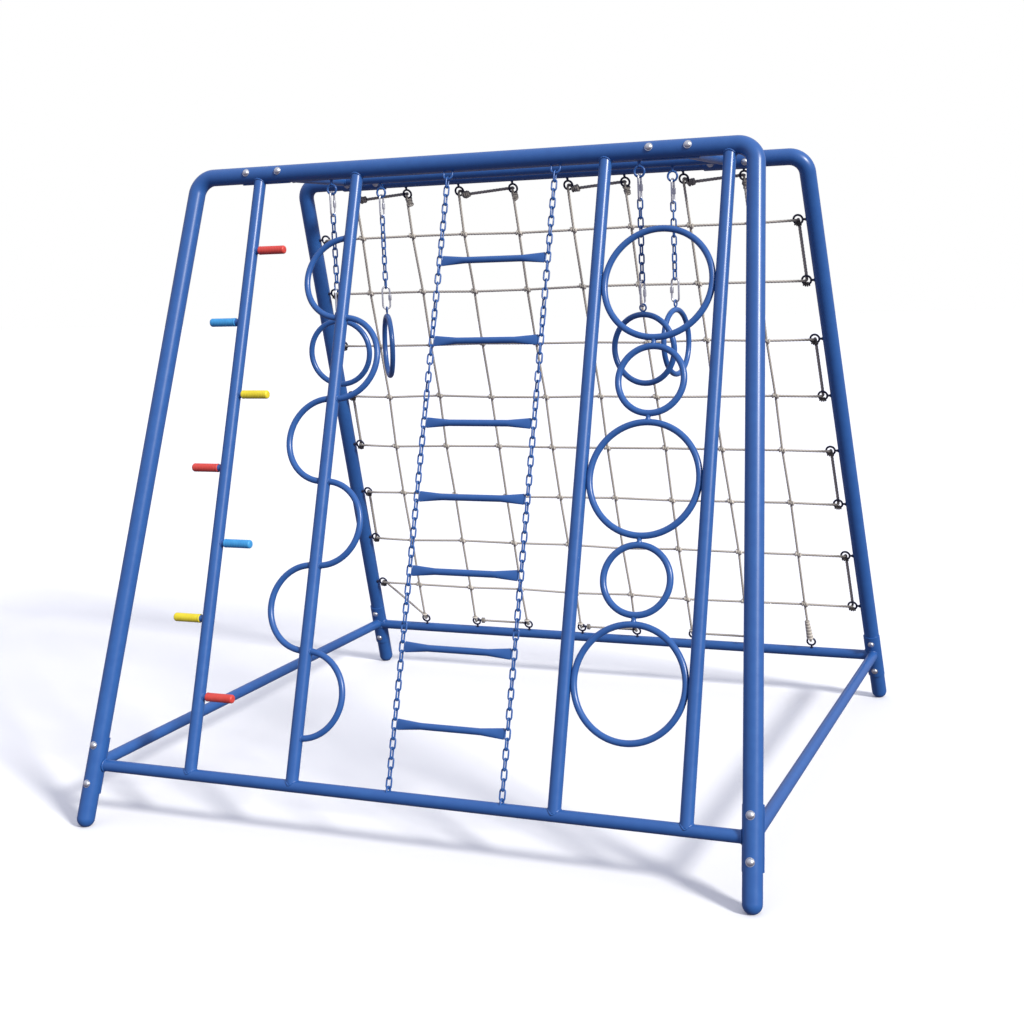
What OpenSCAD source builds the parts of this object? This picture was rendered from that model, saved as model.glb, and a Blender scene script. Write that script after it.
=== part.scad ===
// Free-standing climbing frame of bent steel tube. Two splayed arches lean together, tied at the
// top and railed at the bottom. The front holds a peg pole, a loop pole, a chain ladder and a column
// of rings, the back holds a laced rope net, and four hand rings hang on chains in the middle.
// Millimetres. +X runs along the top bars, -Y is the front, +Z is up and the floor is z = 0.

/* [Frame] */
// Height of the top bars' centre lines above the floor
bar_height = 2200; // [2100:10:2400]
// Width between the leg centre lines at the top bars
top_width = 2070; // [2040:10:2300]
// Width between the leg centre lines at the floor
foot_width = 2330; // [2200:10:2600]
// Depth between the two top bars
top_depth = 730; // [600:10:900]
// Depth between the front and rear legs at the floor
foot_depth = 2200; // [1900:10:2500]
// Diameter of the arch tube
main_d = 60; // [54:1:66]
// Wall of every tube
wall = 2.5; // [2:0.5:4]
// Radius of the arch elbows on the tube's centre line
bend_radius = 65; // [60:1:120]
// Flat worn on each foot so that it stands on the floor
foot_flat = 3; // [2:0.5:5]

/* [Rails and ties] */
// Distance up the slope from the floor to the lower rails
rail_up = 210; // [180:5:300]
// How far the front and rear rails sit inside the plane of their arch
rail_inset = 12; // [8:1:14]
// Diameter of the lower rails
rail_d = 40; // [36:1:42]
// Diameter of the top ties and of the tube that carries the hand rings
tie_d = 42; // [38:1:44]
// Distance of each top tie from the middle of the bars
tie_offset = 755; // [740:1:800]

/* [Saddles and bolts] */
// Length of a half-pipe saddle
saddle_length = 190; // [180:5:240]
// Thickness of a saddle
saddle_wall = 4; // [3:0.5:5]
// Distance of each bolt from the middle of its saddle
bolt_offset = 65; // [60:1:80]
// Diameter of the bolt shanks
bolt_d = 12; // [10:1:14]
// Diameter of the domed bolt heads and nuts
dome_d = 24; // [20:1:26]

/* [Poles] */
// Diameter of the climbing poles
pole_d = 42; // [38:1:46]
// Place of the peg pole along the bar
peg_pole_x = -775; // [-800:1:-740]
// Place of the loop pole along the bar
loop_pole_x = -382; // [-420:1:-360]
// Middle of the ring column along the bar
ring_column_x = 744; // [720:1:760]
// Distance between the two poles of the ring column
ring_pole_gap = 416; // [400:1:430]

/* [Pegs] */
// Number of pegs
peg_count = 7; // [3:1:7]
// Distance from the bar to the first peg
peg_first = 283; // [240:1:300]
// Distance between pegs
peg_pitch = 261; // [220:1:262]
// Diameter of the steel studs
stud_d = 24; // [16:1:25]
// Length of a hand grip
grip_length = 104; // [90:1:120]
// Diameter of a hand grip
grip_d = 30; // [28:1:34]
// Bare stud between the pole and its grip
stud_bare = 10; // [4:1:20]

/* [Loops] */
// Number of half-round loops
loop_count = 6; // [2:1:6]
// Distance from the bar to the upper end of the first loop
loop_first = 252; // [220:1:260]
// Height of one loop between its two ends
loop_pitch = 284; // [240:1:286]
// Diameter of the loop and ring bar
loop_d = 21; // [18:1:24]
// How far each loop is pushed out from the pole's middle
loop_push = 10; // [4:1:12]

/* [Ring column] */
// Number of rings, large and small in turn
ring_count = 5; // [3:2:5]
// Distance from the bar to the middle of the first ring
ring_first = 443; // [400:1:450]
// Distance between ring middles
ring_pitch = 314; // [312:1:330]
// Outer diameter of the small rings
small_ring_d = 236; // [210:1:240]
// Diameter of the short studs between rings
spacer_d = 14; // [10:1:16]

/* [Chain ladder] */
// Middle of the ladder along the bar
ladder_x = 166; // [140:1:180]
// Distance between the two chains
chain_gap = 392; // [360:1:400]
// Inner length of a chain link
link_length = 31.2; // [31:0.1:34]
// Inner width of a chain link
link_width = 11; // [10:0.5:12]
// Wire of the chain
link_wire = 6; // [5:0.5:6.5]
// Links from the bar down to the first rung
first_rung_link = 9; // [9:2:11]
// Links between rungs
rung_links = 8; // [8:2:10]
// Upper spans that are one link longer, with the chain twisted a quarter turn in each
long_spans = 2; // [0:1:3]
// Diameter of a rung in the middle
rung_d = 22; // [20:1:25]
// Height of a rung's flattened ends
rung_end_height = 36; // [32:1:38]
// Thickness of a rung's flattened ends
rung_end_thick = 6; // [5:0.5:8]
// Slack at the middle of each chain that lets the ladder sway
sway_slack = 3; // [2.5:0.5:4]

/* [Net] */
// Rows and columns of the net
net_count = 8; // [6:2:8]
// Diameter of the rope
rope_d = 10; // [8:1:11]
// Diameter of the knots
knot_d = 22; // [18:1:26]
// Wire of the net eyes
net_eye_wire = 8; // [7:0.5:8]
// Outer diameter of the net eyes
net_eye_d = 42; // [38:1:44]
// Shank between a tube and its net eye
net_eye_neck = 8; // [6:1:10]

/* [Hand rings] */
// Distance of the hand rings from the middle, along the bars
hand_ring_x = 590; // [560:1:620]
// Distance of the hand rings and their tubes from the middle, to the front and to the rear
hand_ring_y = 190; // [170:1:210]
// Turn of the hand rings out of the line of the bars: front left, rear left, front right, rear right
hand_ring_turn = [4, -55, -12, 84]; // [-90:1:90]
// Outer diameter of a hand ring
hand_ring_d = 254; // [220:1:260]
// Diameter of the hand ring bar
hand_ring_bar = 20; // [18:1:24]
// Links in each hand ring's chain
hanger_links = 9; // [7:2:9]
// Inner length of a quick link
quick_length = 80; // [70:1:90]
// Inner width of a quick link
quick_width = 22; // [20:1:24]
// Wire of a quick link
quick_wire = 7; // [6:0.5:8]

/* [Hidden] */
$fn = 48;
weld_gap = 0.1;
slip_gap = 0.2;
hang_gap = 0.7;
main_r = main_d / 2;
half_top = top_width / 2;
half_foot = foot_width / 2;
lean_run = (foot_depth - top_depth) / 2;
lean = atan(lean_run / bar_height);
slant = sqrt(bar_height * bar_height + lean_run * lean_run);
splay = atan((half_foot - half_top) / slant);
bend_turn = 90 - splay;
bend_run = bend_radius * tan(bend_turn / 2);
leg_start = (main_r - foot_flat) / (cos(splay) * cos(lean));
leg_end = slant / cos(splay) - bend_run;
rail_x = half_foot - rail_up * tan(splay);
rail_y = foot_depth / 2 - rail_up * sin(lean);
rail_z = rail_up * cos(lean);
plane_tilt = atan(rail_inset / (slant - rail_up));
plane_length = sqrt(pow(slant - rail_up, 2) + rail_inset * rail_inset);
saddle_in = main_r + weld_gap;
saddle_out = saddle_in + saddle_wall;
saddle_up = rail_up / cos(splay);
saddle_lip = 5;
bolt_hole = bolt_d + 0.6;
dome_rise = 11;
dome_sink = 3;
stud_length = pole_d / 2 + stud_bare + grip_length - 14;
loop_r = loop_pitch / 2;
large_ring_d = ring_pole_gap - pole_d + 3;
staple_wire = 7;
staple_r = 16;
low_staple_r = 12;
staple_drop = main_r + 28;
staple_rise = rail_d / 2 + low_staple_r;
ladder_span = plane_length - staple_drop - staple_rise + staple_wire;
link_count = 2 * ceil((ladder_span + sway_slack) / (link_length - 0.4) / 2);
link_gap = (link_count * link_length - ladder_span - sway_slack) / link_count;
rung_count = floor((link_count - first_rung_link - long_spans - 6) / rung_links) + 1;
upper_rungs = ceil(rung_count / 2);
split_link = rung_link(upper_rungs - 1);
rung_length = chain_gap - link_width - 2 * link_wire;
rung_taper = 80;
net_eye_r = (net_eye_d - net_eye_wire) / 2;
net_eye_out = net_eye_neck + net_eye_d / 2;
eye_sink = 2;
lace = rope_d * cos(30) / 2 + net_eye_wire / 2 + 0.3;
net_steps = net_count + 1;
bar_eye_wire = 8;
bar_eye_r = 17.5;
bar_eye_drop = tie_d / 2 + 34;
hand_eye_wire = 6;
hand_eye_r = 12;
hook_top = bar_eye_wire / 2 + hang_gap;
chain_top = hook_top - quick_length + hang_gap;
low_hook_top = chain_top - hanger_links * (link_length - hang_gap);
hand_eye_top = low_hook_top - quick_length + hang_gap;
hand_eye_z = hand_eye_top - hand_eye_r + hand_eye_wire / 2;
hand_ring_z = hand_eye_z - hand_eye_r - hand_eye_wire / 2 - hand_ring_d / 2 + eye_sink;
blue = [0.16, 0.34, 0.70];
deep_blue = [0.09, 0.14, 0.34];
zinc = [0.80, 0.81, 0.83];
red = [0.86, 0.22, 0.18];
light_blue = [0.20, 0.58, 0.85];
yellow = [0.95, 0.86, 0.16];
rope_beige = [0.66, 0.61, 0.54];

// Places: an arch's own upright plane, its legs, and the plane between its bar and its rail.
module on_front() {
    translate([0, -foot_depth / 2, 0]) rotate([-lean, 0, 0]) children();
}

module on_rear() {
    mirror([0, 1, 0]) on_front() children();
}

module both_sides() {
    children();
    mirror([1, 0, 0]) children();
}

module on_leg() {
    translate([half_foot, 0, 0]) rotate([0, -splay, 0]) children();
}

module four_legs() {
    on_front() both_sides() on_leg() children();
    on_rear() both_sides() on_leg() children();
}

module on_bar(x) {
    translate([x, 0, slant]) rotate([0, 90, 0]) children();
}

module tie_ends() {
    for (x = [-tie_offset, tie_offset]) {
        on_front() on_bar(x) children();
        on_rear() on_bar(x) children();
    }
}

module front_plane() {
    on_front() translate([0, 0, slant]) rotate([plane_tilt, 0, 0]) children();
}

module rear_plane() {
    mirror([0, 1, 0]) front_plane() children();
}

// Plain shapes.
module tube(d, h) {
    difference() {
        cylinder(d = d, h = h, center = true);
        cylinder(d = d - 2 * wall, h = h + 2, center = true);
    }
}

module ring(r, wire) {
    rotate([90, 0, 0]) rotate_extrude() translate([r, 0]) circle(d = wire);
}

module half_ring(r, wire) {
    rotate([90, 0, 0]) rotate_extrude(angle = 180) translate([r, 0]) circle(d = wire);
}

// A chain link or quick link: two straight sides and two half-round ends.
module long_link(inner_length, inner_width, wire, $fn = 32) {
    r = (inner_width + wire) / 2;
    side = inner_length + wire - 2 * r;
    for (s = [-1, 1]) translate([s * r, 0, 0]) cylinder(d = wire, h = side, center = true);
    translate([0, 0, side / 2]) half_ring(r, wire);
    rotate([180, 0, 0]) translate([0, 0, side / 2]) half_ring(r, wire);
}

// Arches: a bar, two weld elbows and two legs, drilled for the bolts.
module bolt_holes(length) {
    for (s = [-1, 1]) translate([0, 0, s * bolt_offset]) rotate([90, 0, 0])
        cylinder(d = bolt_hole, h = length, center = true);
}

module arch_bar() {
    difference() {
        on_bar(0) tube(main_d, 2 * (half_top - bend_run - weld_gap));
        for (x = [-tie_offset, tie_offset]) on_bar(x) bolt_holes(main_d + 40);
    }
}

module arch_leg() {
    on_leg() difference() {
        translate([0, 0, (leg_start + leg_end - weld_gap) / 2]) tube(main_d, leg_end - weld_gap - leg_start);
        translate([0, 0, saddle_up]) bolt_holes(main_d + 40);
    }
}

module elbow() {
    translate([half_top - bend_run, 0, slant - bend_radius]) rotate([90, 0, 0]) rotate([0, 0, splay])
        rotate_extrude(angle = bend_turn) translate([bend_radius, 0]) difference() {
            circle(d = main_d);
            circle(d = main_d - 2 * wall);
        }
}

module front_bar() {
    color(blue) on_front() arch_bar();
}

module rear_bar() {
    color(blue) on_rear() arch_bar();
}

module front_left_leg() {
    color(blue) on_front() mirror([1, 0, 0]) arch_leg();
}

module front_right_leg() {
    color(blue) on_front() arch_leg();
}

module rear_left_leg() {
    color(blue) on_rear() mirror([1, 0, 0]) arch_leg();
}

module rear_right_leg() {
    color(blue) on_rear() arch_leg();
}

module elbows() {
    color(blue) {
        on_front() both_sides() elbow();
        on_rear() both_sides() elbow();
    }
}

// Domed plugs in the leg ends, worn flat where they stand.
module foot_caps() {
    color(blue) difference() {
        four_legs() translate([0, 0, leg_start]) {
            difference() {
                sphere(d = main_d);
                translate([0, 0, main_d / 2]) cube([main_d + 2, main_d + 2, main_d], center = true);
            }
            translate([0, 0, -6]) cylinder(r = main_r - wall - slip_gap, h = 36);
        }
        translate([0, 0, -50]) cube([foot_width * 2, foot_depth * 2, 100], center = true);
    }
}

// Half-pipe saddles, clamped to the inside of a tube by two bolts.
module saddle() {
    difference() {
        cylinder(r = saddle_out, h = saddle_length, center = true);
        cylinder(r = saddle_in, h = saddle_length + 2, center = true);
        translate([0, saddle_lip - saddle_out, 0])
            cube([2 * saddle_out + 2, 2 * saddle_out, saddle_length + 2], center = true);
        bolt_holes(4 * main_d);
    }
}

module dome() {
    intersection() {
        cylinder(d = dome_d, h = dome_rise);
        translate([0, 0, dome_rise - 15]) sphere(r = 15);
    }
}

module saddle_bolts() {
    for (s = [-1, 1]) translate([0, 0, s * bolt_offset]) rotate([90, 0, 0]) {
        difference() {
            translate([0, 0, main_r - dome_sink]) dome();
            rotate([90, 0, 0]) cylinder(r = main_r + weld_gap, h = dome_d * 2, center = true);
        }
        translate([0, 0, -saddle_out - 4]) cylinder(d = bolt_d, h = saddle_out + main_r + 8);
    }
}

module saddle_nuts() {
    for (s = [-1, 1]) translate([0, 0, s * bolt_offset]) rotate([-90, 0, 0]) difference() {
        translate([0, 0, saddle_out - dome_sink]) dome();
        rotate([90, 0, 0]) cylinder(r = saddle_out + weld_gap, h = dome_d * 2, center = true);
        translate([0, 0, saddle_out - 10]) cylinder(d = bolt_d + 2 * weld_gap, h = 14 + slip_gap);
    }
}

module corner_saddles() {
    color(blue) four_legs() translate([0, 0, saddle_up]) saddle();
}

module corner_bolts() {
    color(zinc) four_legs() translate([0, 0, saddle_up]) saddle_bolts();
}

module corner_nuts() {
    color(zinc) four_legs() translate([0, 0, saddle_up]) saddle_nuts();
}

// The saddle behind the peg pole is notched to clear it.
module tie_saddles() {
    color(blue) difference() {
        tie_ends() saddle();
        front_plane() pole_cut(peg_pole_x);
    }
}

module tie_bolts() {
    color(zinc) tie_ends() saddle_bolts();
}

module tie_nuts() {
    color(zinc) tie_ends() saddle_nuts();
}

// Lower rails, cut to sit against the saddles they are welded to.
module leg_cut() {
    four_legs() translate([0, 0, saddle_up]) cylinder(r = saddle_out + weld_gap, h = 3 * rail_d, center = true);
}

module side_run(d) {
    rotate([90, 0, 0]) cylinder(d = d, h = 2 * rail_y, center = true);
}

module cross_rail() {
    difference() {
        on_front() translate([0, rail_inset, rail_up]) rotate([0, 90, 0]) tube(rail_d, 2 * rail_x);
        leg_cut();
        both_sides() translate([rail_x, 0, rail_z]) side_run(rail_d + 2 * weld_gap);
    }
}

module side_rail() {
    difference() {
        translate([rail_x, 0, rail_z]) rotate([90, 0, 0]) tube(rail_d, 2 * rail_y);
        leg_cut();
    }
}

module front_rail() {
    color(blue) cross_rail();
}

module rear_rail() {
    color(blue) mirror([0, 1, 0]) cross_rail();
}

module left_rail() {
    color(blue) mirror([1, 0, 0]) side_rail();
}

module right_rail() {
    color(blue) side_rail();
}

// Top ties between the two arches, and the tube across them that carries the hand rings.
module tie(x) {
    difference() {
        translate([x, 0, bar_height]) rotate([90, 0, 0]) tube(tie_d, top_depth);
        for (s = [-1, 1]) translate([x, s * top_depth / 2, bar_height]) rotate([0, 90, 0])
            cylinder(r = saddle_out + weld_gap, h = 2 * tie_d, center = true);
    }
}

module left_tie() {
    color(blue) tie(-tie_offset);
}

module right_tie() {
    color(blue) tie(tie_offset);
}

// Tubes across the ties that carry the hand rings.
module ring_tube(y) {
    difference() {
        translate([0, y, bar_height]) rotate([0, 90, 0]) tube(tie_d, 2 * tie_offset);
        for (x = [-tie_offset, tie_offset]) translate([x, y, bar_height]) rotate([90, 0, 0])
            cylinder(d = tie_d + 2 * weld_gap, h = 2 * tie_d, center = true);
    }
}

module front_ring_tube() {
    color(blue) ring_tube(-hand_ring_y);
}

module rear_ring_tube() {
    color(blue) ring_tube(hand_ring_y);
}

function ring_at(n) =
    [n < 2 ? -hand_ring_x : hand_ring_x, n % 2 == 0 ? -hand_ring_y : hand_ring_y, bar_height];

module bar_eyes() {
    color(blue) for (n = [0:3]) difference() {
        translate(ring_at(n)) {
            translate([0, 0, -bar_eye_drop]) ring(bar_eye_r, bar_eye_wire);
            translate([0, 0, bar_eye_r - bar_eye_drop]) cylinder(d = 10, h = bar_eye_drop - bar_eye_r - 6);
        }
        translate(ring_at(n)) rotate([0, 90, 0])
            cylinder(d = tie_d + 2 * weld_gap, h = 40, center = true);
    }
}

// Climbing poles, cut at both ends to sit against the bar and the rail.
module pole(x) {
    front_plane() translate([x, 0, 0]) difference() {
        translate([0, 0, -plane_length / 2]) tube(pole_d, plane_length);
        rotate([0, 90, 0]) cylinder(r = main_r + weld_gap, h = 2 * pole_d, center = true);
        translate([0, 0, -plane_length]) rotate([0, 90, 0])
            cylinder(d = rail_d + 2 * weld_gap, h = 2 * pole_d, center = true);
    }
}

module pole_cut(x) {
    translate([x, 0, -plane_length]) cylinder(d = pole_d + 2 * weld_gap, h = plane_length);
}

module peg_pole() {
    color(blue) pole(peg_pole_x);
}

// Pegs stick out to the right and to the left in turn.
module on_peg(i) {
    front_plane() translate([peg_pole_x, 0, -peg_first - i * peg_pitch]) rotate([0, i % 2 == 0 ? 90 : -90, 0])
        children();
}

module peg_studs() {
    color(blue) difference() {
        for (i = [0:peg_count - 1]) on_peg(i) cylinder(d = stud_d, h = stud_length);
        front_plane() pole_cut(peg_pole_x);
    }
}

module grip(edge = 6) {
    difference() {
        union() {
            cylinder(d = grip_d - 2 * edge, h = grip_length);
            translate([0, 0, edge]) cylinder(d = grip_d, h = grip_length - 2 * edge);
            for (z = [edge, grip_length - edge]) translate([0, 0, z]) rotate_extrude()
                translate([grip_d / 2 - edge, 0]) circle(r = edge);
        }
        translate([0, 0, -1]) cylinder(d = stud_d + slip_gap, h = grip_length - 12);
    }
}

module grips(first) {
    for (i = [first:3:peg_count - 1]) on_peg(i) translate([0, 0, pole_d / 2 + stud_bare]) grip();
}

module grips_red() {
    color(red) grips(0);
}

module grips_light_blue() {
    color(light_blue) grips(1);
}

module grips_yellow() {
    color(yellow) grips(2);
}

module loop_pole() {
    color(blue) pole(loop_pole_x);
}

// Half-round loops on the left and on the right of their pole in turn.
module pole_loops() {
    color(blue) front_plane() for (i = [0:loop_count - 1]) difference() {
        translate([loop_pole_x + (i % 2 == 0 ? -1 : 1) * loop_push, 0, -loop_first - (i + 0.5) * loop_pitch])
            rotate([0, i % 2 == 0 ? -90 : 90, 0]) half_ring(loop_r, loop_d);
        pole_cut(loop_pole_x);
    }
}

module ring_pole_left() {
    color(blue) pole(ring_column_x - ring_pole_gap / 2);
}

module ring_pole_right() {
    color(blue) pole(ring_column_x + ring_pole_gap / 2);
}

// Rings of the column: the large ones are welded to both poles, the small ones to the large.
module column_ring(i) {
    outer = i % 2 == 0 ? large_ring_d : small_ring_d;
    translate([ring_column_x, 0, -ring_first - i * ring_pitch]) ring((outer - loop_d) / 2, loop_d);
}

module large_rings() {
    color(blue) front_plane() difference() {
        for (i = [0:2:ring_count - 1]) column_ring(i);
        for (s = [-1, 1]) pole_cut(ring_column_x + s * ring_pole_gap / 2);
    }
}

module small_rings() {
    color(blue) front_plane() for (i = [1:2:ring_count - 1]) column_ring(i);
}

module ring_spacers() {
    color(blue) front_plane() for (i = [0:ring_count - 2]) difference() {
        upper = (i % 2 == 0 ? large_ring_d : small_ring_d) / 2 - loop_d / 2;
        lower = (i % 2 == 0 ? small_ring_d : large_ring_d) / 2 - loop_d / 2;
        translate([ring_column_x, 0, -ring_first - (i + 1) * ring_pitch + lower])
            cylinder(d = spacer_d, h = ring_pitch - upper - lower);
        for (z = [-upper - i * ring_pitch, lower - (i + 1) * ring_pitch])
            translate([ring_column_x, 0, z - ring_first]) rotate([0, 90, 0])
                cylinder(d = loop_d + 2 * weld_gap, h = 2 * loop_d, center = true);
    }
}

// Chain ladder: staples on the bar and the rail, two chains, and rungs with flattened ends.
module chain_sides() {
    for (s = [-1, 1]) translate([ladder_x + s * chain_gap / 2, 0, 0]) children();
}

module staple(r, leg) {
    half_ring(r, staple_wire);
    for (s = [-1, 1]) translate([s * r, 0, -leg]) cylinder(d = staple_wire, h = leg);
}

module top_staples() {
    color(blue) front_plane() chain_sides() difference() {
        translate([0, 0, staple_r - staple_drop]) rotate([180, 0, 0]) staple(staple_r, 26);
        rotate([0, 90, 0]) cylinder(r = main_r + weld_gap, h = 2 * main_d, center = true);
    }
}

module bottom_staples() {
    color(blue) front_plane() chain_sides() translate([0, 0, -plane_length]) difference() {
        translate([0, 0, staple_rise - low_staple_r]) rotate([0, 0, 90]) staple(low_staple_r, 12);
        rotate([0, 90, 0]) cylinder(d = rail_d + 2 * weld_gap, h = 2 * main_d, center = true);
    }
}

// The link that holds rung i, how far link i is turned, and the middle of link i below the bar.
function rung_link(i) = first_rung_link + rung_links * i + min(i, long_spans);
function link_turn(i) = 90 * (i + 1) + 90 * min(max((i - first_rung_link) / (rung_links + 1), 0), long_spans);
function link_z(i) = link_gap - staple_drop + staple_wire / 2 - (i + 0.5) * link_length + i * link_gap
    + (i > split_link ? sway_slack - link_gap : 0);

module ladder_links(first, last) {
    front_plane() chain_sides() for (i = [first:last]) translate([0, 0, link_z(i)])
        rotate([0, 0, link_turn(i)]) long_link(link_length, link_width, link_wire);
}

module rung_half() {
    straight = rung_length / 2 - rung_taper;
    cylinder(d = rung_d, h = straight, $fn = 24);
    translate([0, 0, straight]) linear_extrude(height = rung_taper,
        scale = [rung_end_height / rung_d, rung_end_thick / rung_d], slices = 4) circle(d = rung_d, $fn = 24);
}

module rungs(first, last) {
    front_plane() for (i = [first:last]) translate([ladder_x, 0, link_z(rung_link(i))])
        for (s = [-90, 90]) rotate([0, s, 0]) rung_half();
}

module ladder_chain_upper() {
    color(blue) ladder_links(0, split_link);
}

module ladder_chain_lower() {
    color(blue) ladder_links(split_link + 1, link_count - 1);
}

module rungs_upper() {
    color(blue) rungs(0, upper_rungs - 1);
}

module rungs_lower() {
    color(blue) rungs(upper_rungs, rung_count - 1);
}

// Net: eyes on the bar, the rail and both legs, and one rope laced through all of them.
function leg_x(d) = half_top + (half_foot - half_top) * d / slant;
function top_eye(i) = [-half_top + i * top_width / net_steps, 0, -main_r - net_eye_out];
function low_eye(i) = [-rail_x + i * 2 * rail_x / net_steps, 0, rail_d / 2 + net_eye_out - plane_length];
function side_eye(i, s) = let (d = i * plane_length / net_steps)
    [s * (leg_x(d) - (main_r + net_eye_out) / cos(splay)), 0, -d];

// An eye at p on a shank that runs off at an angle from straight up.
module net_eye(p, turn) {
    translate(p) ring(net_eye_r, net_eye_wire);
    translate(p) rotate([0, turn, 0]) translate([0, 0, net_eye_r])
        cylinder(d = net_eye_wire + 1, h = net_eye_out - net_eye_r + 4);
}

module net_eyes_top() {
    color(deep_blue) rear_plane() difference() {
        for (i = [1:net_count]) net_eye(top_eye(i), 0);
        rotate([0, 90, 0]) cylinder(r = main_r + weld_gap, h = top_width, center = true);
    }
}

module net_eyes_bottom() {
    color(deep_blue) rear_plane() difference() {
        for (i = [1:net_count]) net_eye(low_eye(i), 180);
        translate([0, 0, -plane_length]) rotate([0, 90, 0])
            cylinder(d = rail_d + 2 * weld_gap, h = foot_width, center = true);
    }
}

module side_eyes(s) {
    difference() {
        rear_plane() for (i = [1:net_count]) net_eye(side_eye(i, s), s * 90);
        on_rear() both_sides() on_leg() cylinder(r = main_r + weld_gap, h = leg_end);
    }
}

module net_eyes_left() {
    color(deep_blue) side_eyes(-1);
}

module net_eyes_right() {
    color(deep_blue) side_eyes(1);
}

module strand(a, b) {
    run = b - a;
    length = norm(run);
    translate(a) rotate([0, acos(run[2] / length), atan2(run[1], run[0])])
        cylinder(d = rope_d, h = length, $fn = 6);
}

module front_strand(a, b) {
    strand(a + [0, lace, 0], b + [0, lace, 0]);
}

module back_strand(a, b) {
    strand(a - [0, lace, 0], b - [0, lace, 0]);
}

module eye_pass(p) {
    strand(p - [0, lace + rope_d / 2, 0], p + [0, lace + rope_d / 2, 0]);
}

// Where column j stands at height z.
function column_x(j, z) = let (a = top_eye(j), b = low_eye(j))
    a[0] + (b[0] - a[0]) * (a[2] - z) / (a[2] - b[2]);

module net_rope() {
    color(rope_beige) rear_plane() union() {
        for (i = [1:net_count]) {
            front_strand(side_eye(i, -1), side_eye(i, 1));
            front_strand(top_eye(i), low_eye(i));
            for (p = [side_eye(i, -1), side_eye(i, 1), top_eye(i), low_eye(i)]) eye_pass(p);
            for (j = [1:net_count]) translate([column_x(j, side_eye(i, 1)[2]), lace, side_eye(i, 1)[2]])
                rotate([90, 0, 0]) cylinder(d = knot_d, h = rope_d + 6, center = true, $fn = 8);
        }
        for (i = [1:2:net_count - 1]) {
            back_strand(side_eye(i, 1), side_eye(i + 1, 1));
            back_strand(top_eye(i), top_eye(i + 1));
        }
        for (i = [2:2:net_count - 2]) {
            back_strand(side_eye(i, -1), side_eye(i + 1, -1));
            back_strand(low_eye(i), low_eye(i + 1));
        }
        back_strand(side_eye(net_count, -1), low_eye(1));
    }
}

// Hand rings: a quick link on the eye, a short chain, a second quick link and the ring below.
module hung(n, share) {
    translate(ring_at(n) - [0, 0, bar_eye_drop + bar_eye_r])
        rotate([0, 0, hand_ring_turn[n] * share / (hanger_links + 2)]) children();
}

module quick_link() {
    long_link(quick_length, quick_width, quick_wire);
    translate([(quick_width + quick_wire) / 2, 0, 0])
        cylinder(d = quick_wire + 6, h = 22, center = true, $fn = 6);
}

module quick_links(n) {
    color(zinc) {
        hung(n, 0) translate([0, 0, hook_top - quick_length / 2]) rotate([0, 0, 90]) quick_link();
        hung(n, hanger_links + 1) translate([0, 0, low_hook_top - quick_length / 2])
            rotate([0, 0, 90]) quick_link();
    }
}

module hanger_chain(n) {
    color(blue) for (i = [0:hanger_links - 1]) hung(n, i + 1)
        translate([0, 0, chain_top - link_length / 2 - i * (link_length - hang_gap)])
            rotate([0, 0, i % 2 == 0 ? 0 : 90]) long_link(link_length, link_width, link_wire);
}

module hand_ring(n) {
    color(blue) hung(n, hanger_links + 2) {
        translate([0, 0, hand_eye_z]) ring(hand_eye_r, hand_eye_wire);
        translate([0, 0, hand_ring_z]) ring((hand_ring_d - hand_ring_bar) / 2, hand_ring_bar);
    }
}

module quick_links_1() {
    quick_links(0);
}

module quick_links_2() {
    quick_links(1);
}

module quick_links_3() {
    quick_links(2);
}

module quick_links_4() {
    quick_links(3);
}

module hanger_chain_1() {
    hanger_chain(0);
}

module hanger_chain_2() {
    hanger_chain(1);
}

module hanger_chain_3() {
    hanger_chain(2);
}

module hanger_chain_4() {
    hanger_chain(3);
}

module hand_ring_1() {
    hand_ring(0);
}

module hand_ring_2() {
    hand_ring(1);
}

module hand_ring_3() {
    hand_ring(2);
}

module hand_ring_4() {
    hand_ring(3);
}

front_bar();
rear_bar();
elbows();
front_left_leg();
front_right_leg();
rear_left_leg();
rear_right_leg();
foot_caps();
corner_saddles();
corner_bolts();
corner_nuts();
front_rail();
rear_rail();
left_rail();
right_rail();
left_tie();
right_tie();
tie_saddles();
tie_bolts();
tie_nuts();
front_ring_tube();
rear_ring_tube();
bar_eyes();
peg_pole();
peg_studs();
grips_red();
grips_light_blue();
grips_yellow();
loop_pole();
pole_loops();
ring_pole_left();
ring_pole_right();
large_rings();
small_rings();
ring_spacers();
top_staples();
bottom_staples();
ladder_chain_upper();
ladder_chain_lower();
rungs_upper();
rungs_lower();
net_eyes_top();
net_eyes_bottom();
net_eyes_left();
net_eyes_right();
net_rope();
quick_links_1();
quick_links_2();
quick_links_3();
quick_links_4();
hanger_chain_1();
hanger_chain_2();
hanger_chain_3();
hanger_chain_4();
hand_ring_1();
hand_ring_2();
hand_ring_3();
hand_ring_4();
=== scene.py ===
import math

import bmesh
import bpy
import numpy as np
from mathutils import Matrix


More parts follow.
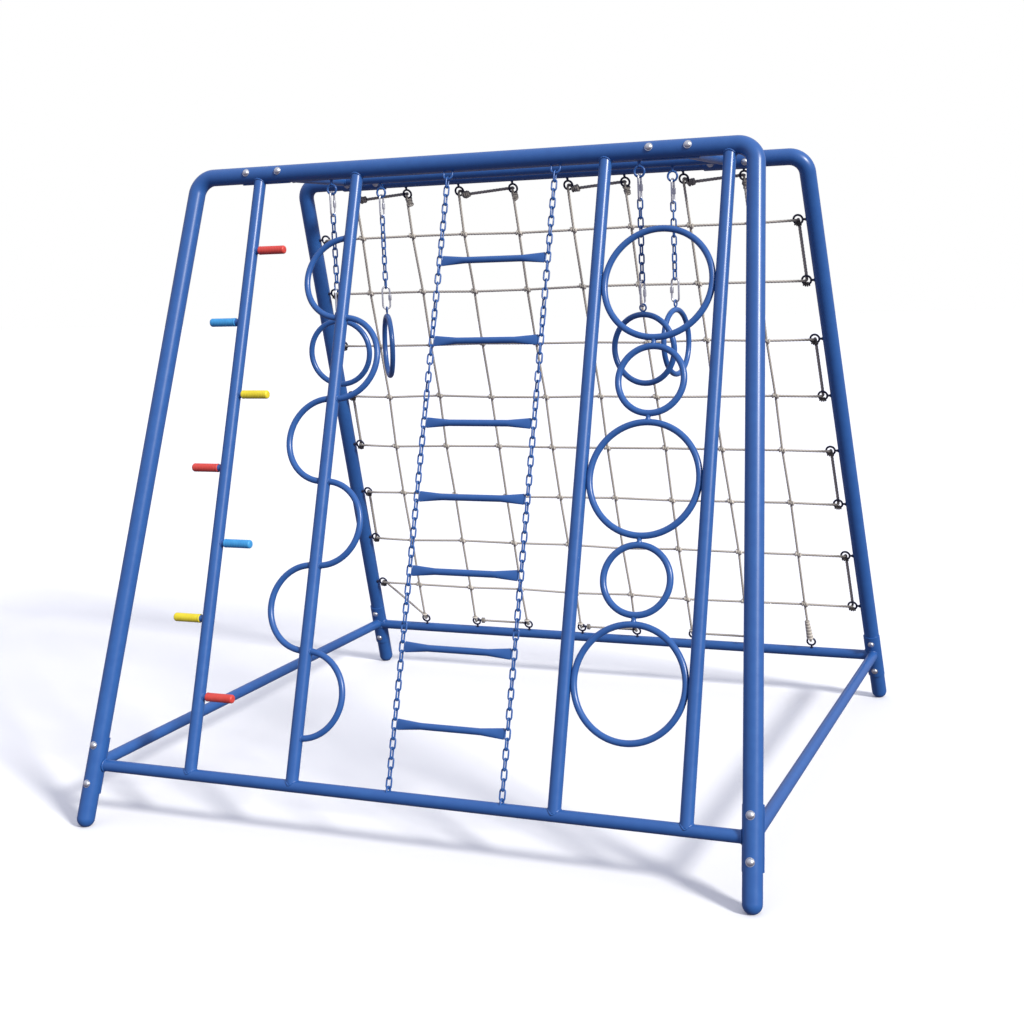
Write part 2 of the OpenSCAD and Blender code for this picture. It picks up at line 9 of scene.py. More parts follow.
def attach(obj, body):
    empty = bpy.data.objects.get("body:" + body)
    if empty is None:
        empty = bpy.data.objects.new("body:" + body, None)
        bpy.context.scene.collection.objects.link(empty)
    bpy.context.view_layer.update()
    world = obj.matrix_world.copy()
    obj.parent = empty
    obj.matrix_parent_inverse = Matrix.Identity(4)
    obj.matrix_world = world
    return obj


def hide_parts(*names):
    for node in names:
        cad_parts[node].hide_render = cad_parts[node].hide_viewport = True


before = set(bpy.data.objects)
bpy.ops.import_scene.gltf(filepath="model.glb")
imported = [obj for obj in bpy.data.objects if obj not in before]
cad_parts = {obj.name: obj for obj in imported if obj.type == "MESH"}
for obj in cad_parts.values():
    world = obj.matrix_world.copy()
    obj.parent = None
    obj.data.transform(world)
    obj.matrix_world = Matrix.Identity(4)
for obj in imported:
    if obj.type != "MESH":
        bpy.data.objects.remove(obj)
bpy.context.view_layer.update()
rng = np.random.default_rng(7)
print("frame loaded:", len(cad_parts), "nodes")

# sizes of the frame in millimetres, the same values the solids were built from
frameSizes = dict(barHeight=2200.0, topWidth=2070.0, footWidth=2330.0, topDepth=730.0, footDepth=2200.0,
                  mainRadius=30.0, bendRadius=65.0, footFlat=3.0, railUp=210.0, railInset=12.0,
                  railRadius=20.0, tieRadius=21.0, tieOffset=755.0, poleRadius=21.0, loopRadius=10.5)
# the end of a tube stops this far from the axis of the tube it runs into
stopShort = dict(crossRail=8, sideRail=4, tie=10, handTube=8, poleTop=10, poleFoot=8, loop=4)
barHeight, halfTop, halfFoot = frameSizes["barHeight"], frameSizes["topWidth"] / 2, frameSizes["footWidth"] / 2
mainRadius, railRadius, tieRadius = frameSizes["mainRadius"], frameSizes["railRadius"], frameSizes["tieRadius"]
poleRadius, loopBar, tieOffset = frameSizes["poleRadius"], frameSizes["loopRadius"], frameSizes["tieOffset"]
leanRun = (frameSizes["footDepth"] - frameSizes["topDepth"]) / 2
lean = math.atan2(leanRun, barHeight)
slant = math.hypot(barHeight, leanRun)
splay = math.atan2(halfFoot - halfTop, slant)
planeTilt = math.atan2(frameSizes["railInset"], slant - frameSizes["railUp"])
planeLength = math.hypot(slant - frameSizes["railUp"], frameSizes["railInset"])
railX = halfFoot - frameSizes["railUp"] * math.tan(splay)
railY = frameSizes["footDepth"] / 2 - frameSizes["railUp"] * math.sin(lean)
railZ = frameSizes["railUp"] * math.cos(lean)
footUp = (mainRadius - frameSizes["footFlat"]) / (math.cos(splay) * math.cos(lean))  # where a leg's tube starts


# places: every shape is made in mm in a local frame and then put in its place

def turnX(p, angle):  # turn points about X by angle
    c, s = math.cos(angle), math.sin(angle)
    return np.stack([p[..., 0], p[..., 1] * c - p[..., 2] * s, p[..., 1] * s + p[..., 2] * c], -1)


def turnZ(p, angle):  # turn points about Z, angle may be one per row
    c, s = np.cos(angle), np.sin(angle)
    return np.stack([p[..., 0] * c - p[..., 1] * s, p[..., 0] * s + p[..., 1] * c, p[..., 2]], -1)


def onArch(p, rear=False):  # upright plane of an arch: x along the bar, y inward, z up the slope
    q = turnX(np.asarray(p, float), -lean) + [0, -frameSizes["footDepth"] / 2, 0]
    return q * [1, -1, 1] if rear else q


def onPlane(p, rear=False):  # plane between bar and rail: z = 0 on the bar, z = -planeLength on the rail
    return onArch(turnX(np.asarray(p, float), planeTilt) + [0, 0, slant], rear)


def onLeg(p, side, rear=False):  # z up a leg from the floor, y inward
    p = np.asarray(p, float)
    c, s = math.cos(splay), math.sin(splay)
    q = np.stack([p[..., 0] * c - p[..., 2] * s + halfFoot, p[..., 1], p[..., 0] * s + p[..., 2] * c], -1)
    return onArch(q * [side, 1, 1], rear)


# shapes as whole arrays

def unit(v):
    return v / np.linalg.norm(v, axis=-1, keepdims=True)


def circleProfile(radius, sides):  # points (r cos a, r sin a) round a circle
    a = np.linspace(0, 2 * np.pi, sides, endpoint=False)
    return np.stack([np.cos(a), np.sin(a)], -1) * radius


def carry(path, profile, hint, closed=False):
    # each path point P gets the profile (a, b) as P + a*S + b*U, where T is the path's direction,
    # S = T x hint and U = S x T; profile is (m, 2), or (n, m, 2) where it changes along the path
    path = np.asarray(path, float)
    tangent = unit(np.roll(path, -1, 0) - np.roll(path, 1, 0)) if closed else unit(np.gradient(path, axis=0))
    side = unit(np.cross(tangent, np.asarray(hint, float)))
    up = np.cross(side, tangent)
    profile = np.broadcast_to(profile, (len(path),) + np.shape(profile)[-2:])
    grid = path[:, None] + profile[..., :1] * side[:, None] + profile[..., 1:] * up[:, None]
    return grid, gridFaces(*grid.shape[:2], closed)


def gridFaces(rows, columns, closed):
    # quads of a rows x columns grid that wraps round its columns, with flat ends where it is open
    index = np.arange(rows * columns).reshape(rows, columns)
    below = np.roll(index, -1, 0) if closed else index[1:]
    above = index if closed else index[:-1]
    quads = np.stack([above, np.roll(above, -1, 1), np.roll(below, -1, 1), below], -1).reshape(-1, 4)
    ends = [] if closed else [index[0][::-1].tolist(), index[-1].tolist()]
    return quads.tolist() + ends


def revolve(profile, sides):
    # (radius, height) pairs turned about Z
    profile = np.asarray(profile, float)
    ring = circleProfile(1.0, sides)
    height = np.broadcast_to(profile[:, None, 1:], (len(profile), sides, 1))
    grid = np.concatenate([profile[:, None, :1] * ring[None], height], -1)
    return grid, gridFaces(*grid.shape[:2], False)


def roundRing(radius, wire, points, sides):  # a ring in the XZ plane
    t = np.linspace(0, 2 * np.pi, points, endpoint=False)
    path = np.stack([radius * np.cos(t), 0 * t, radius * np.sin(t)], -1)
    return carry(path, circleProfile(wire / 2, sides), (0, 1, 0), True)


def copies(grid, faces, places):
    # one shape put at many places: places is a list of functions from local points to the frame
    return [(place(grid), faces) for place in places]


def makePiece(name, shapes, body, material, replaces=(), soilAndShade=None):
    # joins shapes, moves mm to metres, points all faces outwards and gives the piece its body and finish;
    # the darkening is one number per point, kept as an attribute that the rope finish darkens by; it holds
    # painted shade together with dirt
    verts, faces, start = [], [], 0
    for grid, shapeFaces in shapes:
        flat = np.asarray(grid, float).reshape(-1, 3)
        verts.append(flat)
        faces += [[i + start for i in f] for f in shapeFaces]
        start += len(flat)
    mesh = bpy.data.meshes.new(name)
    mesh.from_pydata(np.concatenate(verts) / 1000, [], faces)
    work = bmesh.new()
    work.from_mesh(mesh)
    bmesh.ops.recalc_face_normals(work, faces=work.faces)
    work.to_mesh(mesh)
    work.free()
    mesh.polygons.foreach_set("use_smooth", np.ones(len(mesh.polygons), bool))
    mesh.set_sharp_from_angle(angle=math.radians(50))
    mesh.materials.append(material)
    if soilAndShade is not None:
        stored = mesh.attributes.new("soilAndShade", "FLOAT", "POINT")
        stored.data.foreach_set("value", np.asarray(soilAndShade, np.float32).ravel())
    piece = bpy.data.objects.new(name, mesh)
    bpy.context.scene.collection.objects.link(piece)
    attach(piece, body)
    if replaces:
        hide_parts(*replaces)


# finishes

def linear(code):  # sRGB hex to linear colour
    c = np.array([int(code[i:i + 2], 16) for i in (1, 3, 5)]) / 255
    c = np.where(c <= 0.04045, c / 12.92, ((c + 0.055) / 1.055) ** 2.4)
    return (*c.tolist(), 1.0)


def addNode(tree, kind, inputs=(), **settings):
    # adds a node, sets its properties and its sockets; a socket value that is an output is linked
    node = tree.nodes.new(kind)
    for key, value in settings.items():
        setattr(node, key, value)
    for key, value in dict(inputs).items():
        if isinstance(value, bpy.types.NodeSocket):
            tree.links.new(value, node.inputs[key])
        else:
            node.inputs[key].default_value = value
    return node


def startFinish(name):
    material = bpy.data.materials.new(name)
    material.use_nodes = True
    tree = material.node_tree
    tree.nodes.clear()
    place = addNode(tree, "ShaderNodeTexCoord").outputs["Object"]
    return material, tree, place


def endFinish(tree, shader):
    addNode(tree, "ShaderNodeOutputMaterial", {"Surface": shader.outputs["BSDF"]})


perMetre = 1000.0  # a pattern n mm across has scale perMetre / n


def noise(tree, place, acrossMm, detail, **more):  # a noise pattern about acrossMm across
    inputs = {"Vector": place, "Scale": perMetre / acrossMm, "Detail": detail, **more}
    return addNode(tree, "ShaderNodeTexNoise", inputs).outputs[0]


def mixTones(tree, share, low, high):  # the colour low where share is 0, high where it is 1
    return addNode(tree, "ShaderNodeMix", {0: share, 6: low, 7: high}, data_type="RGBA").outputs[2]


def powderCoat(name, look):
    # polyester powder coat baked on steel: a deep even colour under a gloss skin, with a faint orange peel,
    # a slow drift of tone where the coat is thicker and a low mottle that also dulls the gloss here and there
    material, tree, place = startFinish(name)
    drift = noise(tree, place, look["driftMm"], 3.0)
    mottle = noise(tree, place, 30, 4.0, Roughness=0.55)
    blend = addNode(tree, "ShaderNodeMath", {0: drift, 1: mottle, 2: 0.2}, operation="MULTIPLY_ADD").outputs[0]
    tone = mixTones(tree, blend, linear(look["dark"]), linear(look["light"]))
    least, most = look["rough"]
    gloss = addNode(tree, "ShaderNodeMapRange", {0: mottle, 1: 0.3, 2: 0.7, 3: least, 4: most})
    peel = noise(tree, place, 4, 1.0)  # real peel is 1 to 2 mm, drawn coarser to show
    bump = addNode(tree, "ShaderNodeBump", {"Height": peel, "Strength": 0.1, "Distance": 0.0005})
    shader = addNode(tree, "ShaderNodeBsdfPrincipled", {"Base Color": tone, "Roughness": gloss.outputs[0],
                     "Normal": bump.outputs[0], "IOR": 1.5, "Coat Weight": 0.1, "Coat Roughness": 0.2})
    endFinish(tree, shader)
    return material


def zincPlate(name):
    # bright zinc on pressed steel: metal with a fine cloudy spangle and rub marks
    material, tree, place = startFinish(name)
    cloud = noise(tree, place, 6, 4.0)
    tone = mixTones(tree, cloud, linear("#c4c7cb"), linear("#f0f1f2"))
    rub = addNode(tree, "ShaderNodeMapRange", {0: cloud, 3: 0.3, 4: 0.5})
    bump = addNode(tree, "ShaderNodeBump", {"Height": cloud, "Strength": 0.1, "Distance": 0.0003})
    shader = addNode(tree, "ShaderNodeBsdfPrincipled", {"Base Color": tone, "Metallic": 1.0,
                     "Roughness": rub.outputs[0], "Normal": bump.outputs[0]})
    endFinish(tree, shader)
    return material


def softPvc(name, dark, light):
    # dipped soft PVC: strong even colour, a satin skin with fine pits and a paler bloom on the ribs
    material, tree, place = startFinish(name)
    bloom = noise(tree, place, 22, 3.0)
    tone = mixTones(tree, bloom, linear(dark), linear(light))
    pits = noise(tree, place, 1.5, 2.0)
    skin = addNode(tree, "ShaderNodeMapRange", {0: bloom, 3: 0.38, 4: 0.55})
    bump = addNode(tree, "ShaderNodeBump", {"Height": pits, "Strength": 0.15, "Distance": 0.0004})
    shader = addNode(tree, "ShaderNodeBsdfPrincipled", {"Base Color": tone, "Roughness": skin.outputs[0],
                     "Normal": bump.outputs[0], "IOR": 1.53})
    endFinish(tree, shader)
    return material


def laidRope(name):
    # laid polypropylene rope, weathered: dry cream fibres with patches of dirt, darkened further by a per-point
    # attribute that holds painted shade in the grooves of the lay and on the hitches
    material, tree, place = startFinish(name)
    yarn = noise(tree, place, 3, 4.0, Roughness=0.65)
    dirt = noise(tree, place, 160, 3.0)
    tone = mixTones(tree, yarn, linear("#b9af9d"), linear("#f4eee2"))
    grime = addNode(tree, "ShaderNodeMapRange", {0: dirt, 1: 0.4, 2: 0.75, 3: 0.0, 4: 0.25})
    dusty = mixTones(tree, grime.outputs[0], tone, linear("#71675a"))
    # the per-point darkening: painted shade in the grooves of the lay and on the hitches, together with dirt
    soilAndShade = addNode(tree, "ShaderNodeAttribute", attribute_name="soilAndShade")  # darkest on hitches and behind the eyes
    colour = mixTones(tree, soilAndShade.outputs["Fac"], dusty, linear("#332f2b"))
    bump = addNode(tree, "ShaderNodeBump", {"Height": yarn, "Strength": 0.5, "Distance": 0.0008})
    shader = addNode(tree, "ShaderNodeBsdfPrincipled", {"Base Color": colour, "Roughness": 0.86,
                     "Normal": bump.outputs[0], "Sheen Weight": 0.25, "Sheen Roughness": 0.5})
    endFinish(tree, shader)
    return material


paintLook = dict(dark="#265294", light="#3367a9", driftMm=240, rough=(0.31, 0.36))
deepLook = dict(dark="#10152f", light="#1a2247", driftMm=60, rough=(0.3, 0.5))
paint = powderCoat("blue_powder_coat", paintLook)
deepPaint = powderCoat("deep_blue_powder_coat", deepLook)
zinc = zincPlate("bright_zinc_plate")
redGrip = softPvc("red_soft_pvc", "#c8342c", "#e4584b")
lightBlueGrip = softPvc("light_blue_soft_pvc", "#2b86c6", "#4aa8e0")
yellowGrip = softPvc("yellow_soft_pvc", "#e0c81c", "#f2e23c")
rope = laidRope("laid_polypropylene_rope")
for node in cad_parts.values():
    node.data.materials.clear()
    node.data.materials.append(paint)
print("finishes made")


def paintedPiece(name, shapes, *nodes):  # a blue piece of the frame that stands for the named nodes
    makePiece(name, shapes, "frame", paint, nodes)


# arches: one bent tube each

def archPath():
    # straight legs and bar joined by arcs of the bend radius that touch both
    r = frameSizes["bendRadius"]
    run = r * math.tan((math.pi / 2 - splay) / 2)
    a = np.linspace(splay, math.pi / 2, 14)
    arc = np.stack([halfTop - run + r * np.cos(a), 0 * a, slant - r + r * np.sin(a)], -1)
    leg = np.array([halfFoot, 0, 0]) + footUp * np.array([-math.sin(splay), 0, math.cos(splay)])
    up = np.linspace(0, 1, 9)[:-1, None]
    right = np.concatenate([leg + up * (arc[0] - leg), arc])
    left = right[::-1] * [-1, 1, 1]
    across = np.linspace(0, 1, 9)[1:-1, None]
    return np.concatenate([right, right[-1] + across * (left[0] - right[-1]), left])


archTube = carry(archPath(), circleProfile(mainRadius, 40), (0, 1, 0))
paintedPiece("front_arch_tube", [(onArch(archTube[0]), archTube[1])],
             "front_bar", "front_left_leg", "front_right_leg")
paintedPiece("rear_arch_tube", [(onArch(archTube[0], True), archTube[1])],
             "rear_bar", "rear_left_leg", "rear_right_leg", "elbows")

# domed feet, worn flat where they stand
footArc = np.linspace(0, -math.pi / 2, 14)
footDome = revolve(mainRadius * np.stack([np.cos(footArc), np.sin(footArc)], -1), 40)
feet = []
for side in (-1, 1):
    for rear in (False, True):
        dome = onLeg(footDome[0] + [0, 0, footUp], side, rear)
        dome[..., 2] = np.maximum(dome[..., 2], 0)
        feet.append((dome, footDome[1]))
paintedPiece("domed_feet", feet, "foot_caps")


def straightTube(start, end, radius, hint):  # a circle carried along a straight line
    share = np.linspace(0, 1, 9)[:, None]
    start, end = np.asarray(start, float), np.asarray(end, float)
    return carry(start + share * (end - start), circleProfile(radius, 36), hint)


def railEnd(side, rear):  # end of a cross rail, hidden in its leg
    x = side * (railX - stopShort["crossRail"])
    return onArch(np.array([x, frameSizes["railInset"], frameSizes["railUp"]]), rear)


flat = (0, 0, 1)
for rear, label in ((False, "front"), (True, "rear")):
    ends = [railEnd(side, rear) for side in (-1, 1)]
    paintedPiece(f"{label}_rail_tube", [straightTube(*ends, railRadius, flat)], f"{label}_rail")
for side, label in ((-1, "left"), (1, "right")):
    ends = [(side * railX, y * (railY - stopShort["sideRail"]), railZ) for y in (-1, 1)]
    paintedPiece(f"{label}_rail_tube", [straightTube(*ends, railRadius, flat)], f"{label}_rail")
    reach = frameSizes["topDepth"] / 2 - stopShort["tie"]
    ends = [(side * tieOffset, y * reach, barHeight) for y in (-1, 1)]
    paintedPiece(f"{label}_tie_tube", [straightTube(*ends, tieRadius, flat)], f"{label}_tie")
handTubeY = 190.0
for y, label in ((-handTubeY, "front"), (handTubeY, "rear")):
    ends = [(side * (tieOffset - stopShort["handTube"]), y, barHeight) for side in (-1, 1)]
    paintedPiece(f"{label}_ring_cross_tube", [straightTube(*ends, tieRadius, flat)], f"{label}_ring_tube")
poleSizes = dict(peg_pole=-775.0, loop_pole=-382.0, ring_pole_left=536.0, ring_pole_right=952.0)
for node, x in poleSizes.items():
    ends = onPlane(np.array([[x, 0, -stopShort["poleTop"]], [x, 0, stopShort["poleFoot"] - planeLength]]))
    paintedPiece(f"{node}_tube", [straightTube(*ends, poleRadius, (1, 0, 0))], node)
print("arches, rails and poles done")


# saddles, bolts and nuts

saddleSizes = dict(length=190.0, inner=30.1, outer=34.1, lip=5.0, boltAt=65.0)


def saddleShape(notchAt=None):
    # half-pipe section from angle e1 to e2: outer arc out, inner arc back, carried along the pipe;
    # e1 = asin(y / r) with y the lip, or the larger sqrt(R^2 - d^2) where a pole of radius R passes
    # at distance d
    s = saddleSizes
    half = s["length"] / 2
    stations = np.concatenate([[-half, -half + 1.2], np.linspace(-half + 4, half - 4, 60), [half - 1.2, half]])
    lip = np.full(len(stations), s["lip"])
    if notchAt is not None:
        lip = np.maximum(lip, np.sqrt(np.maximum((poleRadius + 1.5) ** 2 - (stations - notchAt) ** 2, 0)))
    e1, e2 = np.arcsin(lip / s["inner"]), np.full(len(stations), math.pi - math.asin(s["lip"] / s["inner"]))
    share = np.linspace(0, 1, 28)
    a = e1[:, None] + (e2 - e1)[:, None] * share
    atEnd = np.abs(stations) > half - 0.5
    eased = np.where(atEnd, 0.985, 1.0)[:, None] * s["outer"]  # both ends of the outer edge are eased
    outer = np.stack([np.cos(a) * eased, np.sin(a) * eased], -1)
    inner = np.stack([np.cos(a), np.sin(a)], -1)[:, ::-1] * s["inner"]
    section = np.concatenate([outer, inner], 1)
    grid = np.concatenate([section, np.broadcast_to(stations[:, None, None], section.shape[:2] + (1,))], -1)
    return grid, gridFaces(*grid.shape[:2], False)


boltSizes = dict(rim=13.6, dome=12.0, base=26.5, seat=30.5, rise=8.5)
nutSizes = dict(rim=13.2, dome=11.4, base=31.0, seat=34.6, rise=8.0)


def domedHead(d):
    # a rim from base to seat, then a dome of radius dome cos a at the height seat + rise sin a
    a = np.linspace(0, math.pi / 2, 9)
    radius = np.r_[0.001, d["rim"], d["rim"], d["dome"] * np.cos(a)]
    height = np.r_[d["base"], d["base"], d["seat"], d["seat"] + d["rise"] * np.sin(a)]
    return revolve(np.stack([radius, height], -1), 28)


saddle, notchedSaddle = saddleShape(), saddleShape(tieOffset + poleSizes["peg_pole"])
boltHead, capNut = domedHead(boltSizes), domedHead(nutSizes)


def alongNormal(p, sign):  # a shape that points along Z is turned to point along the tube's normal
    return np.stack([p[..., 0], sign * p[..., 2], p[..., 1]], -1)


def onBar(p, x, rear):  # half-pipe frame on a top bar
    p = np.asarray(p, float)
    return onArch(np.stack([p[..., 2] + x, p[..., 1], -p[..., 0] + slant], -1), rear)


saddleUp = frameSizes["railUp"] / math.cos(splay)
bothEnds = [(s, r) for s in (-1, 1) for r in (False, True)]
cornerPlaces = [lambda p, s=s, r=r: onLeg(np.asarray(p, float) + [0, 0, saddleUp], s, r) for s, r in bothEnds]
tiePlaces = [lambda p, s=s, r=r: onBar(p, s * tieOffset, r) for s, r in bothEnds]
for label, places in (("corner", cornerPlaces), ("tie", tiePlaces)):
    pipes = copies(*saddle, places)
    if label == "tie":
        pipes[0] = copies(*notchedSaddle, places[:1])[0]  # the one behind the peg pole clears it
    paintedPiece(f"{label}_half_pipes", pipes, f"{label}_saddles")
    heads, nuts = [], []
    for z in (-saddleSizes["boltAt"], saddleSizes["boltAt"]):
        heads += copies(alongNormal(boltHead[0], -1) + [0, 0, z], boltHead[1], places)
        nuts += copies(alongNormal(capNut[0], 1) + [0, 0, z], capNut[1], places)
    makePiece(f"{label}_bolt_heads", heads, "frame", zinc, [f"{label}_bolts"])
    makePiece(f"{label}_cap_nuts", nuts, "frame", zinc, [f"{label}_nuts"])
print("saddles done")


# pegs

pegSizes = dict(poleX=poleSizes["peg_pole"], first=283.0, pitch=261.0, count=7, studRadius=12.0, bare=10.0,
                length=104.0, radius=15.0, ribMm=6.5, tipMm=7)
gripColours = [("red", redGrip), ("light_blue", lightBlueGrip), ("yellow", yellowGrip)]


def gripShape():
    # radius along the grip: a collar, shallow ribs, and a rounded tip
    g = pegSizes
    z = np.linspace(0, g["length"] - g["tipMm"], 120)
    rib = 0.45 * (0.5 + 0.5 * np.cos(2 * np.pi * z / g["ribMm"])) ** 2
    body = g["radius"] - 0.5 + rib
    body = np.where(z < 6, g["radius"] + 0.1, body)
    body[:2] = g["radius"] - 1.2, g["radius"] - 0.3
    tip = np.linspace(0, math.pi / 2, 10)
    radius = np.r_[g["studRadius"] + 0.1, body, (g["radius"] - 7.2) + g["tipMm"] * np.cos(tip), 0.001]
    height = np.r_[0.0, z, g["length"] - g["tipMm"] + g["tipMm"] * np.sin(tip), g["length"]]
    return revolve(np.stack([radius, height], -1), 36)


def onPeg(p, i):  # Z of the shape runs out from the pole, right and left in turn
    out = 1 if i % 2 == 0 else -1
    z = p[..., 0] - pegSizes["first"] - i * pegSizes["pitch"]
    return onPlane(np.stack([out * p[..., 2] + pegSizes["poleX"], p[..., 1], z], -1))


grip = gripShape()
for k, (colour, finish) in enumerate(gripColours):
    pegs = range(k, pegSizes["count"], len(gripColours))
    places = [lambda p, i=i: onPeg(p + [0, 0, poleRadius + pegSizes["bare"]], i) for i in pegs]
    makePiece(f"ribbed_grips_{colour}", copies(*grip, places), "frame", finish,
              [f"grips_{colour}"])
studEnd = poleRadius + pegSizes["bare"] + 8  # just inside its grip
stud = revolve([[pegSizes["studRadius"], 14.0], [pegSizes["studRadius"], studEnd]], 32)
places = [lambda p, i=i: onPeg(p, i) for i in range(pegSizes["count"])]
paintedPiece("peg_stubs", copies(*stud, places), "peg_studs")
print("pegs done")


# loops and column rings

loopSizes = dict(poleX=poleSizes["loop_pole"], first=252.0, pitch=284.0, count=6, push=10.0)
columnSizes = dict(x=744.0, first=443.0, pitch=314.0, count=5, large=377.0, small=236.0, spacer=7.0)
barSection = circleProfile(loopBar, 20)
loops = []
for i in range(loopSizes["count"]):
    out = -1 if i % 2 == 0 else 1
    a = np.linspace(-math.pi / 2, math.pi / 2, 41)
    r = loopSizes["pitch"] / 2
    arcX = out * (loopSizes["push"] + r * np.cos(a))
    arcZ = r * np.sin(a) - loopSizes["first"] - (i + 0.5) * loopSizes["pitch"]
    path = np.stack([loopSizes["poleX"] + arcX, 0 * a, arcZ], -1)
    root = path[[0]] * [0, 1, 1] + [[loopSizes["poleX"] + out * stopShort["loop"], 0, 0]]
    foot = path[[-1]] * [0, 1, 1] + [[loopSizes["poleX"] + out * stopShort["loop"], 0, 0]]
    grid, faces = carry(np.concatenate([root, path, foot]), barSection, (0, 1, 0))
    loops.append((onPlane(grid), faces))
paintedPiece("bent_loops", loops, "pole_loops")

for label, first in (("large", 0), ("small", 1)):
    rings = []
    for i in range(first, columnSizes["count"], 2):
        a = np.linspace(0, 2 * np.pi, 96, endpoint=False)
        r = columnSizes[label] / 2 - loopBar
        hoopZ = r * np.sin(a) - columnSizes["first"] - i * columnSizes["pitch"]
        path = np.stack([columnSizes["x"] + r * np.cos(a), 0 * a, hoopZ], -1)
        grid, faces = carry(path, barSection, (0, 1, 0), True)
        rings.append((onPlane(grid), faces))
    paintedPiece(f"{label}_column_rings", rings, f"{label}_rings")

spacers = []
gapLength = columnSizes["pitch"] - (columnSizes["large"] + columnSizes["small"]) / 2
for i in range(columnSizes["count"] - 1):
    outer = columnSizes["large" if i % 2 == 0 else "small"] / 2
    z = np.array([6.0, 0.0, -gapLength / 2, -gapLength, -gapLength - 6.0])
    flare = columnSizes["spacer"] + np.array([1.5, 1.5, 0.0, 1.5, 1.5])  # weld throats at both ends
    z = z - outer - columnSizes["first"] - i * columnSizes["pitch"]
    grid, faces = revolve(np.stack([flare, z], -1), 20)
    spacers.append((onPlane(grid + [columnSizes["x"], 0, 0]), faces))
paintedPiece("ring_studs", spacers, "ring_spacers")
print("loops and rings done")


# chain ladder

chainSizes = dict(x=166.0, gap=392.0, inner=31.2, width=11.0, wire=6.0, firstRung=9, rungLinks=8, longSpans=2,
                  stapleWire=7.0, stapleDrop=58.0, stapleRadius=16.0, stapleRise=32.0, lowStapleRadius=12.0,
                  stapleLeg=22, lowStapleLeg=6, slack=3.0)
rungSizes = dict(radius=11.0, endHeight=36.0, endThick=6.0, taper=80.0)


def linkPath(inner, width, wire, points):
    # a stadium in the XZ plane: half circles of radius r at the heights +h and -h
    r = (width + wire) / 2
    h = (inner + wire) / 2 - r
    a = np.linspace(0, math.pi, points)
    top = np.stack([r * np.cos(a), 0 * a, h + r * np.sin(a)], -1)
    return np.concatenate([top, -top])


def linkCopies(shape, turns, heights):
    # one link turned and lowered for every entry of turns and heights
    grid, faces = shape
    return [(turnZ(grid, t) + [0, 0, z], faces) for t, z in zip(turns, heights)]


c = chainSizes
span = planeLength - c["stapleDrop"] - c["stapleRise"] + c["stapleWire"]
linkCount = 2 * math.ceil((span + c["slack"]) / (c["inner"] - 0.4) / 2)
linkGap = (linkCount * c["inner"] - span - c["slack"]) / linkCount
rungCount = (linkCount - c["firstRung"] - c["longSpans"] - 6) // c["rungLinks"] + 1
rungNo = np.arange(rungCount)
rungLink = c["firstRung"] + c["rungLinks"] * rungNo + np.minimum(rungNo, c["longSpans"])
upperRungs = math.ceil(rungCount / 2)
splitLink = int(rungLink[upperRungs - 1])
linkNo = np.arange(linkCount)
linkZ = linkGap - c["stapleDrop"] + c["stapleWire"] / 2 - (linkNo + 0.5) * c["inner"] + linkNo * linkGap
linkZ = linkZ + np.where(linkNo > splitLink, c["slack"] - linkGap, 0)
# the chain twists a quarter turn in each long span
twisted = np.clip((linkNo - c["firstRung"]) / (c["rungLinks"] + 1), 0, c["longSpans"])
linkTurn = np.radians(90 * (linkNo + 1) + 90 * twisted)
link = carry(linkPath(c["inner"], c["width"], c["wire"], 8), circleProfile(c["wire"] / 2, 8), (0, 1, 0), True)


def rungShape():
    # ellipse section along X whose height grows and thickness shrinks towards the pressed ends
    r = rungSizes
    half = (c["gap"] - c["width"] - 2 * c["wire"]) / 2
    x = np.linspace(-half, half, 61)
    t = np.clip((np.abs(x) - (half - r["taper"])) / r["taper"], 0, 1)
    height = r["radius"] + (r["endHeight"] / 2 - r["radius"]) * t
    thick = r["radius"] + (r["endThick"] / 2 - r["radius"]) * t
    ring = circleProfile(1.0, 32)
    section = thick[:, None] * ring[None, :, 0], height[:, None] * ring[None, :, 1]
    grid = np.stack(np.broadcast_arrays(x[:, None], *section), -1)
    return grid, gridFaces(*grid.shape[:2], False)


rung = rungShape()
halves = [("upper", linkNo[:splitLink + 1], rungLink[:upperRungs]),
          ("lower", linkNo[splitLink + 1:], rungLink[upperRungs:])]
for label, links, rungs in halves:
    chain = []
    for side in (-1, 1):
        for grid, faces in linkCopies(link, linkTurn[links], linkZ[links]):
            chain.append((onPlane(grid + [c["x"] + side * c["gap"] / 2, 0, 0]), faces))
    makePiece(f"ladder_links_{label}", chain, f"ladder_{label}", paint, [f"ladder_chain_{label}"])
    steps = [(onPlane(rung[0] + [c["x"], 0, z]), rung[1]) for z in linkZ[rungs]]
    makePiece(f"pressed_rungs_{label}", steps, f"ladder_{label}", paint, [f"rungs_{label}"])


def staplePath(radius, leg):  # a U in the XZ plane, open downwards
    a = np.linspace(0, math.pi, 15)
    arch = np.stack([radius * np.cos(a), 0 * a, radius * np.sin(a)], -1)
    return np.concatenate([arch[:1] - [0, 0, leg], arch, arch[-1:] - [0, 0, leg]])


